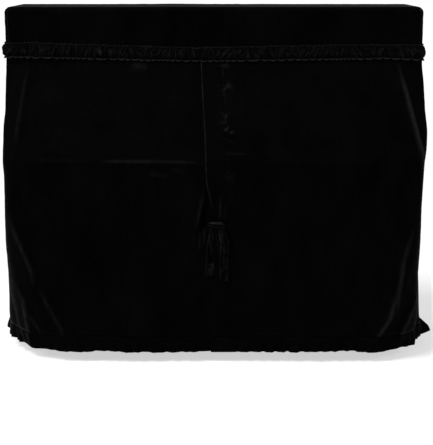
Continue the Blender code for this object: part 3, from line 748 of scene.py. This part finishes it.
def make_band():
    """The ruched band: puffed gathers between two stitched lines, a small ruffle beyond each.

    Pairs of ruffle sizes are for the upper and the lower one, and v runs from the upper stitched
    line, 0, to the lower one, 1."""
    base = whole_ring(CAP_SEAM_Z, 0.0, BAND_SPACING)
    lengths = places_along(base)
    normals = grid_normals(np.stack([base, base - (0.0, 0.0, 0.01)]))[0]
    x = base[:, 0]
    xs = column(BAND_EDGES, BAND_COLUMNS, "x")
    top = np.interp(x, xs, column(BAND_EDGES, BAND_COLUMNS, "top_z"))
    bottom = np.interp(x, xs, column(BAND_EDGES, BAND_COLUMNS, "bottom_z"))
    upper = np.linspace(-RUFFLE_REACH[0], 0.0, 5)
    lower = np.linspace(1.0, 1.0 + RUFFLE_REACH[1], 6)
    v = np.concatenate([upper, np.linspace(0.05, 0.95, 17), lower])[:, None]
    run = lengths[None]
    inside = np.sin(math.pi * np.clip(v, 0.0, 1.0)) ** 0.65
    beyond = np.maximum(-v, v - 1.0).clip(0.0)

    def ruffle(sizes):
        return np.where(v > 0.5, sizes[1], sizes[0])

    drift = 1.1 * noise(run / 0.11, 0.0, 90)
    broad, fine = band_gathers(run, v, drift, x[None])
    uneven = 0.8 + 0.45 * noise(run / 0.05, 4.0, 93)
    lift = BAND_STITCH_LIFT + BAND_LIFT * inside
    lift = lift + inside * uneven * (BROAD_RISE * broad + FINE_RISE * fine - FINE_RISE)
    lift = lift + 0.0010 * inside * noise(run / 0.006, v / 0.12, 94)
    swell = ramp(np.abs(x), HALF_WIDTH - 0.030, HALF_WIDTH)[None]
    swell = swell * (END_SWELL + END_SWELL * noise(run / 0.030 + 1.5 * v, v / 0.28, 97))
    lift = lift + swell * inside
    edge_wave = puffs(run / ruffle(RUFFLE_WAVE) + 1.2 * drift + ruffle((0.0, 2.3)))
    flare = ruffle(RUFFLE_LIFT) + ruffle(RUFFLE_SWING) * edge_wave
    lift = lift + ramp(beyond, 0.0, 0.10) * flare
    slope = section("front", bottom)[None] - HALF_DEPTH
    facing = np.clip(-normals[:, 1], 0.0, 1.0)[None]
    lift = CLOTH + lift + slope * facing * ramp(v, 0.3, 1.0)

    jitter = 0.0011 * noise(run / 0.021, 2.0, 95)
    jitter = jitter + ruffle(RUFFLE_DIP) * (edge_wave - 0.6) * ramp(beyond, 0.0, 0.1)
    grid = base[None] + normals[None] * lift[..., None]
    grid[..., 2] = top[None] - v * (top - bottom)[None] + np.where(v > 0.5, -jitter, jitter)
    ends = from_ends(lengths)
    rims = np.minimum(v + RUFFLE_REACH[0], 1.0 + RUFFLE_REACH[1] - v) * 0.045
    thickness = BAND_CLOTH * lip(rims + 0.0002, 0.0016) * lip(ends, 0.003)

    # Painted highlight, a lighter grey, on the crests of the gathers and along the ruffles' edges
    patchy = 0.45 + 0.55 * ramp(noise(run / 0.018, v / 0.30, 96), -0.5, 0.5)
    painted_highlight = 0.34 * inside * (ramp(fine, 0.86, 1.0) + ramp(broad, 0.93, 1.0)) * patchy
    lower_edge_highlight = 0.35 + 0.65 * ramp(edge_wave, 0.20, 0.90)
    upper_edge_highlight = 0.55 + 0.45 * ramp(edge_wave, 0.20, 0.80)
    along_edge = crest(beyond - ruffle(RUFFLE_HIGHLIGHT_PLACE), 0.040) * (beyond > 0.0)
    painted_highlight = np.maximum(painted_highlight, 0.95 * along_edge * np.where(v > 0.5, lower_edge_highlight, upper_edge_highlight))
    piece, outer = sheet_piece(
        "ruched_band_cloth", grid, thickness, BAND_VELVET, ["ruched_band"], painted_highlight=painted_highlight,
    )
    return [outer[len(upper) - 1], outer[-len(lower)]]


TOP_SWELL = (0.0012, 0.16, 0.11)
TOP_CRUSH = (0.0005, 0.04, 0.05)
TOP_SMALL = (0.0003, 0.012, 0.012)
FALL_SWELL = (0.0016, 0.17, 0.09)
FALL_CRUSH = (0.0008, 0.06, 0.05)
FALL_SMALL = (0.0003, 0.014, 0.014)
FALL_TUGS = (0.0012, 0.011, 0.10)
FALL_SPACING = 0.006


def make_top():
    """The flat panel on the lid, its edge rolled over to the seam."""
    seam = ROLL_SEAM_ANGLE + math.degrees(SEAM_GAP / EDGE_ROLL)
    inset = roll_section(seam)[0]
    half_x, half_y, corner = HALF_WIDTH - inset, HALF_DEPTH - inset, CAP_CORNER_RADIUS - inset
    rim = np.array([0.0, 0.0008, 0.0018, 0.003, 0.005, 0.0075, 0.0105, 0.014, 0.019, 0.025])

    def spread(half, spacing):
        inner = half - rim[-1]
        middle = np.linspace(-inner, inner, int(2.0 * inner / spacing) + 1)
        return np.concatenate([-half + rim[:-1], middle, (half - rim[:-1])[::-1]])

    x = spread(half_x, 0.009)[None]
    y = spread(half_y, 0.009)[:, None]
    across = (np.abs(x) - (half_x - corner)).clip(0.0) / corner
    behind = (np.abs(y) - (half_y - corner)).clip(0.0) / corner
    px = np.minimum(np.abs(x), half_x - corner) + corner * across * np.sqrt(1.0 - behind ** 2 / 2.0)
    py = np.minimum(np.abs(y), half_y - corner) + corner * behind * np.sqrt(1.0 - across ** 2 / 2.0)
    reach = np.hypot((px - (half_x - corner)).clip(0.0), (py - (half_y - corner)).clip(0.0))
    straight = np.minimum(half_x - px, half_y - py)
    to_edge = np.where((across > 0.0) & (behind > 0.0), corner - reach, straight)
    from_wall = (to_edge + inset).clip(0.0, EDGE_ROLL)
    z = -EDGE_ROLL + np.sqrt(EDGE_ROLL ** 2 - (EDGE_ROLL - from_wall) ** 2)
    gx, gy = np.sign(x) * px, np.sign(y) * py
    calm = ramp(to_edge, 0.01, 0.05)
    swell = TOP_SWELL[0] + waves(TOP_SWELL, gx, gy, 110) + waves(TOP_CRUSH, gx, gy, 111)
    z = z + calm * swell + waves(TOP_SMALL, gx, gy, 112)
    grid = np.stack([gx, gy, z], axis=-1)[::-1]
    thickness = CLOTH * lip(to_edge[::-1] + 0.0001, 0.0026)
    piece, _ = sheet_piece("top_cloth", grid, thickness, VELVET, ["top_panel"])


# Piece, node and cut length of each strip, anticlockwise from the back left corner
FALLS = (
    ("left_fall_cloth", "left_fall", 0.39),
    ("front_fall_cloth", "front_fall", 1.54),
    ("right_fall_cloth", "right_fall", 0.39),
    ("back_fall_cloth", "back_fall", 1.54),
)


def fall_rows():
    """Rows once round the cap: the rolled edge from its seam, then the wall."""
    walls = rows_between(-EDGE_ROLL - 0.005, CAP_SEAM_Z + SEAM_GAP / 2.0, FALL_SPACING)
    angles = np.linspace(ROLL_SEAM_ANGLE, 0.0, 10)
    sections = [roll_section(angle) for angle in angles] + [(0.0, z) for z in walls]
    return np.array([whole_ring(z, inset, FALL_SPACING) for inset, z in sections])


def make_falls():
    """Four strips round the cap, joined at its corners."""
    rows = fall_rows()
    middle = rows[len(rows) // 2]
    run, z = np.broadcast_arrays(places_along(middle)[None], rows[..., 2])
    offset = waves(FALL_SWELL, run, z, 120) + waves(FALL_CRUSH, run, z, 121)
    offset = offset * ramp(-z, 0.012, 0.05) + waves(FALL_SMALL, run, z, 122)
    offset = offset + ramp(-z, 0.10, 0.155) * waves(FALL_TUGS, run, z, 123)
    rows = rows + grid_normals(rows) * offset[..., None]
    first, *others = corner_places(middle)
    start = first
    for (name, node, cut), end in zip(FALLS, others):
        piece_of_fall(name, node, rows[:, start:end + 1])
        start = end
    name, node, cut = FALLS[-1]
    around = np.concatenate([rows[:, start:-1], rows[:, :first + 1]], axis=1)
    piece_of_fall(name, node, around)


def corner_places(ring):
    """Where along a ring its four corners lie: back left, front left, front right, back right."""
    wanted = ((-1, 1), (-1, -1), (1, -1), (1, 1))
    return [int(np.argmax(ring[:, 0] * sx + ring[:, 1] * sy)) for sx, sy in wanted]


def piece_of_fall(name, node, grid):
    run = places_along(grid[-1])
    ends = from_ends(run)
    down = np.linalg.norm(grid - grid[:1], axis=-1)
    thickness = CLOTH * lip(ends + 0.0001, 0.0030) * lip(down + 0.0001, 0.0026)
    piece, _ = sheet_piece(name, grid, thickness, VELVET, [node])


# ---- tie
STRAP_CLOTH = 0.004
KNOT_CENTRE = (0.008, -0.4665, -0.757)
KNOT_HALF = (0.030, 0.0125, 0.014)
# Each strap's middle line and half width: x, y, z, half
STRAPS = {
    "tie_loop_left": (
        (0.0, -0.47, -0.76, 0.007),
        (-0.006, -0.476, -0.7725, 0.01),
        (-0.004, -0.48, -0.79, 0.013),
        (0.0, -0.483, -0.815, 0.014),
        (0.004, -0.482, -0.842, 0.014),
        (0.006, -0.477, -0.856, 0.014),
        (0.006, -0.47, -0.858, 0.014),
        (0.005, -0.466, -0.848, 0.014),
        (0.002, -0.464, -0.82, 0.014),
        (-0.002, -0.4635, -0.795, 0.012),
        (0.0, -0.464, -0.765, 0.008),
    ),
    "tie_loop_right": (
        (0.016, -0.47, -0.76, 0.007),
        (0.024, -0.476, -0.7725, 0.01),
        (0.031, -0.48, -0.788, 0.013),
        (0.037, -0.484, -0.812, 0.015),
        (0.037, -0.483, -0.84, 0.015),
        (0.036, -0.478, -0.862, 0.014),
        (0.035, -0.471, -0.865, 0.014),
        (0.035, -0.467, -0.852, 0.014),
        (0.035, -0.4645, -0.82, 0.014),
        (0.029, -0.4635, -0.794, 0.012),
        (0.018, -0.464, -0.765, 0.008),
    ),
    "tie_tail_left": (
        (0.004, -0.46, -0.76, 0.008),
        (-0.002, -0.458, -0.7725, 0.01),
        (-0.006, -0.457, -0.8, 0.013),
        (-0.011, -0.4565, -0.85, 0.015),
        (-0.014, -0.4565, -0.9, 0.015),
        (-0.015, -0.457, -0.942, 0.015),
    ),
    "tie_tail_right": (
        (0.014, -0.46, -0.76, 0.008),
        (0.022, -0.458, -0.7725, 0.01),
        (0.029, -0.457, -0.8, 0.013),
        (0.034, -0.4565, -0.85, 0.015),
        (0.036, -0.4565, -0.91, 0.015),
        (0.036, -0.457, -0.965, 0.015),
    ),
}
STRAP_SIDES = 20
STRAP_STEPS = 12


def smooth_route(values, steps):
    """Values on a smooth curve through a table's rows (Catmull-Rom)."""
    values = np.asarray(values, float)
    padded = np.concatenate([2.0 * values[:1] - values[1:2], values, 2.0 * values[-1:] - values[-2:-1]])
    out = []
    for k in range(len(values) - 1):
        before, start, end, after = padded[k:k + 4]
        for t in np.linspace(0.0, 1.0, steps, endpoint=False):
            out.append(0.5 * (
                2.0 * start + (end - before) * t
                + (2.0 * before - 5.0 * start + 4.0 * end - after) * t ** 2
                + (3.0 * (start - end) + after - before) * t ** 3
            ))
    out.append(values[-1])
    return np.array(out)


def tube_faces(rings, sides):
    """Faces of a closed tube of point rings, its two ends filled."""
    i, j = np.meshgrid(np.arange(rings - 1), np.arange(sides), indexing="ij")
    a = i * sides + j
    b = i * sides + (j + 1) % sides
    faces = np.stack([a, b, b + sides, a + sides], axis=-1).reshape(-1, 4).tolist()
    last = (rings - 1) * sides
    return faces + [list(range(sides))[::-1], list(range(last, last + sides))]


def make_strap(name, stations, seed):
    """A soft flat strap, creased along its length, that follows its table of points."""
    route = smooth_route(stations, STRAP_STEPS)
    centres, halves = route[:, :3], route[:, 3]
    along = unit(np.gradient(centres, axis=0))
    across = np.tile(np.array((1.0, 0.0, 0.0)), (len(centres), 1))
    across = unit(across - along * np.sum(along * across, axis=1, keepdims=True))
    thick = np.cross(along, across)
    run = places_along(centres)
    turn = full_turn(STRAP_SIDES)
    wide = np.sign(np.cos(turn)) * np.abs(np.cos(turn)) ** 0.8
    high = np.sign(np.sin(turn)) * np.abs(np.sin(turn)) ** 0.6
    across_share = wide[None]
    distance = run[:, None]
    crease = 0.0016 * noise(distance / 0.030, across_share * 1.4 + 3.0, seed)
    crease = crease + 0.0008 * noise(distance / 0.008, across_share * 2.5, seed + 1)
    edge = 0.0012 * noise(distance / 0.02, np.sign(across_share) + 5.0, seed + 2)
    bodies = np.where(np.abs(across_share) > 0.8, 0.8, 1.0)
    points = (
        centres[:, None]
        + across[:, None] * ((halves[:, None] + edge) * wide[None])[..., None]
        + thick[:, None] * (STRAP_CLOTH / 2.0 * high[None] * bodies + crease)[..., None]
    )
    # Painted highlight, a lighter grey, along the strap's edges and on its crease crests
    painted_highlight = 0.50 * ramp(np.abs(across_share), 0.80, 1.0) + 260.0 * np.clip(crease, 0.0, 0.0018)
    piece = mesh_piece(
        name + "_cloth", points.reshape(-1, 3), tube_faces(len(centres), STRAP_SIDES),
        TIE_VELVET, [name], painted_highlight,
    )


def make_knot():
    """The knot: straps wound round each other, drawn tight, its top turn standing proud."""
    rings, sides = 40, 56
    polar = np.linspace(0.03, math.pi - 0.03, rings)[:, None]
    turn = full_turn(sides)[None]
    spread = np.sin(polar) ** 0.6
    x = spread * np.cos(turn)
    y = spread * np.sin(turn)
    z = np.cos(polar) + 0.0 * turn
    wrap = puffs(1.35 * z + 0.35 * x + 0.2) - 0.5
    folds = noise(x * 3.0, z * 2.0 + y, 141)
    swell = 1.0 + 0.11 * wrap + 0.09 * folds + 0.05 * noise(x * 9.0, z * 4.0, 142)
    points = np.stack([x * swell, y * swell, z * (0.94 + 0.06 * swell)], axis=-1)
    points = points * np.array(KNOT_HALF) + np.array(KNOT_CENTRE)
    faces = [face[::-1] for face in tube_faces(rings, sides)]
    # Painted highlight, a lighter grey, on the knot's upper turn and on its wraps
    painted_highlight = 0.9 * ramp(z, 0.45, 0.90) * (1.0 - ramp(z, 0.97, 1.0)) + 0.35 * ramp(wrap, 0.3, 0.5)
    mesh_piece("tie_knot_cloth", points.reshape(-1, 3), faces, TIE_VELVET, ["tie_knot"], painted_highlight)


# ---- stitches
STITCH_RADIUS = 0.00035
STITCH_SIDES = 6
STITCH_RINGS = ((-0.5, 0.35), (-0.3, 1.0), (0.3, 1.0), (0.5, 0.35))
STITCH_SHARE = 0.75


def make_stitches(name, lines, pitch, seed):
    """Short rounded stitches along lines of points, joined in one mesh."""
    rng = np.random.default_rng(seed)
    turn = full_turn(STITCH_SIDES)
    points, faces = [], []
    for line in lines:
        places = places_along(line)
        wanted = np.arange(pitch, places[-1] - pitch, pitch)
        wanted = wanted + rng.uniform(-0.08, 0.08, len(wanted)) * pitch
        centres = points_at(wanted, places, line)
        along = unit(points_at(wanted + 0.0015, places, line) - centres)
        for centre, run in zip(centres, along):
            side = unit(np.cross(run, (0.3, 0.5, 0.8)))
            other = np.cross(run, side)
            first = len(points)
            for share, girth in STITCH_RINGS:
                for angle in turn:
                    reach = math.cos(angle) * side + math.sin(angle) * other
                    reach = STITCH_RADIUS * girth * reach
                    points.append(centre + run * share * pitch * STITCH_SHARE + reach)
            for face in tube_faces(len(STITCH_RINGS), STITCH_SIDES):
                faces.append([first + corner for corner in face])
    return mesh_piece(name, np.array(points), faces, THREAD, [])


# ---- materials
VELVET_BLACK = (0.0009, 0.0009, 0.0010)
# Lighter grey laid on crests and edges as a painted highlight
PAINTED_HIGHLIGHT_GREY = (0.013, 0.013, 0.0145, 1.0)
THREAD_DARK = (0.0008, 0.0008, 0.0010, 1.0)
THREAD_LIGHT = (0.0040, 0.0040, 0.0044, 1.0)
CRUSH_SHADE = 0.5


def new_material(name):
    """A new material, its node tree and its shader."""
    material = bpy.data.materials.new(name)
    material.use_nodes = True
    tree = material.node_tree
    return material, tree, tree.nodes["Principled BSDF"]


def add_node(tree, kind, inputs):
    """A new node, each of its inputs a value or another node's output."""
    made = tree.nodes.new(kind)
    for key, value in inputs.items():
        if isinstance(value, bpy.types.NodeSocket):
            tree.links.new(value, made.inputs[key])
        else:
            made.inputs[key].default_value = value
    return made


def multiply_add(tree, value, factor, extra):
    made = add_node(tree, "ShaderNodeMath", {0: value, 1: factor, 2: extra})
    made.operation = "MULTIPLY_ADD"
    return made.outputs[0]


def two_shades(tree, share, low, high, low_at=0.0, high_at=1.0):
    """A colour between two, by a share."""
    shade = add_node(tree, "ShaderNodeValToRGB", {"Fac": share})
    for element, colour, position in zip(shade.color_ramp.elements, (low, high), (low_at, high_at)):
        element.color = colour
        element.position = position
    return shade.outputs["Color"]


def velvet(name, colour, seed, pile=0.35):
    """Black velvet: matt ground, dense short pile with crushed patches, and a painted highlight, a
    lighter grey, where each point's attribute calls for it.
    """
    material, tree, shader = new_material(name)
    links = tree.links
    place = tree.nodes.new("ShaderNodeTexCoord").outputs["Object"]

    def pattern(scale, detail, stretch=(1.0, 1.0, 1.0), shift=0.0):
        location = (seed * 1.7 + shift, seed * 0.9, shift)
        inputs = {"Vector": place, "Scale": stretch, "Location": location}
        spot = add_node(tree, "ShaderNodeMapping", inputs).outputs["Vector"]
        inputs = {"Vector": spot, "Scale": scale, "Detail": detail, "Roughness": 0.6}
        return add_node(tree, "ShaderNodeTexNoise", inputs).outputs["Fac"]

    crushed = pattern(9.0, 4.0, (1.0, 1.0, 0.45))
    brushed = pattern(46.0, 3.0, (1.6, 1.6, 0.5), 3.0)
    fibres = pattern(620.0, 2.0, shift=7.0)
    tufts = pattern(210.0, 2.0, (1.0, 1.0, 0.6), 11.0)

    low = tuple(c * (1.0 - CRUSH_SHADE) for c in colour) + (1.0,)
    high = tuple(c * (1.0 + CRUSH_SHADE) for c in colour) + (1.0,)
    shade = two_shades(tree, multiply_add(tree, brushed, 0.45, crushed), low, high, 0.50, 0.98)
    # Painted highlight: the lighter grey is mixed in by each point's highlight attribute, broken up by
    # the brushed noise
    highlight_attribute = add_node(tree, "ShaderNodeAttribute", {})
    highlight_attribute.attribute_name = "painted_highlight"
    dappled = multiply_add(tree, brushed, 1.4, 0.1)
    highlight_share = add_node(tree, "ShaderNodeMath", {0: highlight_attribute.outputs["Fac"], 1: dappled})
    highlight_share.operation = "MULTIPLY"
    highlight_share.use_clamp = True
    blend = tree.nodes.new("ShaderNodeMix")
    blend.data_type = "RGBA"
    blend.inputs["B"].default_value = PAINTED_HIGHLIGHT_GREY
    links.new(highlight_share.outputs[0], blend.inputs["Factor"])
    links.new(shade, blend.inputs["A"])
    links.new(blend.outputs["Result"], shader.inputs["Base Color"])

    limits = {"Value": tufts, "From Min": 0.3, "From Max": 0.7, "To Min": 0.50, "To Max": 0.66}
    rough = add_node(tree, "ShaderNodeMapRange", limits)
    links.new(rough.outputs["Result"], shader.inputs["Roughness"])
    height = multiply_add(tree, tufts, 1.6, fibres)
    bump = add_node(tree, "ShaderNodeBump", {"Strength": pile, "Distance": 0.0006, "Height": height})
    links.new(bump.outputs["Normal"], shader.inputs["Normal"])
    shader.inputs["Specular IOR Level"].default_value = 0.004
    shader.inputs["Sheen Weight"].default_value = 0.05
    shader.inputs["Sheen Roughness"].default_value = 0.20
    shader.inputs["Sheen Tint"].default_value = (0.80, 0.82, 0.88, 1.0)
    return material


def thread(name):
    """Black sewing thread, a little shinier than the pile."""
    material, tree, shader = new_material(name)
    place = tree.nodes.new("ShaderNodeTexCoord").outputs["Object"]
    inputs = {"Vector": place, "Scale": 900.0, "Distortion": 1.0}
    twist = add_node(tree, "ShaderNodeTexWave", inputs).outputs["Fac"]
    shade = two_shades(tree, twist, THREAD_DARK, THREAD_LIGHT)
    tree.links.new(shade, shader.inputs["Base Color"])
    bump = add_node(tree, "ShaderNodeBump", {"Distance": 0.0002, "Height": twist})
    tree.links.new(bump.outputs["Normal"], shader.inputs["Normal"])
    shader.inputs["Roughness"].default_value = 0.75
    shader.inputs["Specular IOR Level"].default_value = 0.05
    return material


VELVET = velvet("black_velvet", VELVET_BLACK, 1)
BAND_VELVET = velvet("band_velvet", VELVET_BLACK, 2, pile=0.3)
FRILL_VELVET = velvet("frill_velvet", VELVET_BLACK, 3)
TIE_VELVET = velvet("tie_velvet", VELVET_BLACK, 4, pile=0.3)
THREAD = thread("black_thread")


# ---- camera, floor and light
PITCH = math.radians(12.2)
CAMERA_PLACE = (0.009, -4.614, 0.1516)
LENS = 96.269663
SENSOR = 36.0
FLOOR_Z = -1.272
FLOOR_REACH = 150.0
FLOOR_GREY = (0.42, 0.42, 0.42, 1.0)
FLOOR_GLOW = 0.58
WHITE = (1.0, 1.0, 1.0, 1.0)


def make_camera():
    data = bpy.data.cameras.new("camera")
    data.sensor_fit = "AUTO"
    data.sensor_width = SENSOR
    data.lens = LENS
    camera = placed("camera", data)
    camera.location = CAMERA_PLACE
    camera.rotation_euler = (math.pi / 2.0 - PITCH, 0.0, 0.0)
    bpy.context.scene.camera = camera


def make_floor():
    """A wide flat floor, pale and a little bright of itself, which ends far behind."""
    material, _, shader = new_material("pale_floor")
    shader.inputs["Base Color"].default_value = FLOOR_GREY
    shader.inputs["Roughness"].default_value = 0.95
    shader.inputs["Specular IOR Level"].default_value = 0.0
    shader.inputs["Emission Color"].default_value = WHITE
    shader.inputs["Emission Strength"].default_value = FLOOR_GLOW
    mesh = bpy.data.meshes.new("floor")
    signs = ((-1, -1), (1, -1), (1, 1), (-1, 1))
    corners = [(x * FLOOR_REACH, y * FLOOR_REACH, FLOOR_Z) for x, y in signs]
    mesh.from_pydata(corners, [], [(0, 1, 2, 3)])
    mesh.materials.append(material)
    placed("floor", mesh)


# Area lamps, and a sun whose place only gives its direction and whose size is its angle in radians
LIGHT_COLUMNS = ("name", "kind", "place", "aim", "size", "power")
LIGHTS = (
    ("sun", "SUN", (-1.30, -0.95, 2.50), (0.0, 0.0, 0.0), 0.40, 2.8),
    ("left_rake", "AREA", (-3.6, -1.7, 0.9), (0.0, -0.3, -0.6), 1.0, 48.0),
    ("right_rake", "AREA", (3.6, -1.6, 0.9), (0.0, -0.3, -0.6), 1.0, 38.0),
)
ROOM_LIGHT = 0.30


def make_lights():
    for row in LIGHTS:
        light = dict(zip(LIGHT_COLUMNS, row))
        data = bpy.data.lights.new(light["name"], light["kind"])
        data.energy = light["power"]
        if light["kind"] == "SUN":
            data.angle = light["size"]
        else:
            data.shape = "SQUARE"
            data.size = light["size"]
        lamp = placed(light["name"], data)
        lamp.location = light["place"]
        aim = Vector(light["aim"]) - Vector(light["place"])
        lamp.rotation_euler = aim.to_track_quat("-Z", "Y").to_euler()
    world = bpy.data.worlds.new("studio")
    bpy.context.scene.world = world
    world.use_nodes = True
    nodes, links = world.node_tree.nodes, world.node_tree.links
    path = nodes.new("ShaderNodeLightPath")
    strength = nodes.new("ShaderNodeMapRange")
    strength.inputs["To Min"].default_value = ROOM_LIGHT
    strength.inputs["To Max"].default_value = 1.0
    links.new(path.outputs["Is Camera Ray"], strength.inputs["Value"])
    nodes["Background"].inputs["Color"].default_value = WHITE
    links.new(strength.outputs["Result"], nodes["Background"].inputs["Strength"])
    bpy.context.scene.view_settings.view_transform = "Standard"


def main():
    make_camera()
    make_floor()
    make_lights()
    make_top()
    make_falls()
    band_lines = make_band()
    left, left_line = make_curtain("left_curtain", -1, 20)
    right, right_line = make_curtain("right_curtain", 1, 40)
    back = make_back()
    front_frill("left_frill_cloth", "left_frill", -1, 50, 20)
    front_frill("right_frill_cloth", "right_frill", 1, 60, 40)
    for number, (name, stations) in enumerate(STRAPS.items()):
        make_strap(name, stations, 150 + 5 * number)
    make_knot()
    make_stitches("band_stitches", band_lines, 0.0050, 170)
    make_stitches("curtain_hem_stitches", [left_line, right_line], 0.0048, 171)
    make_stitches("frill_stitches", [left[-2], right[-2], back[-2]], 0.0052, 172)


main()
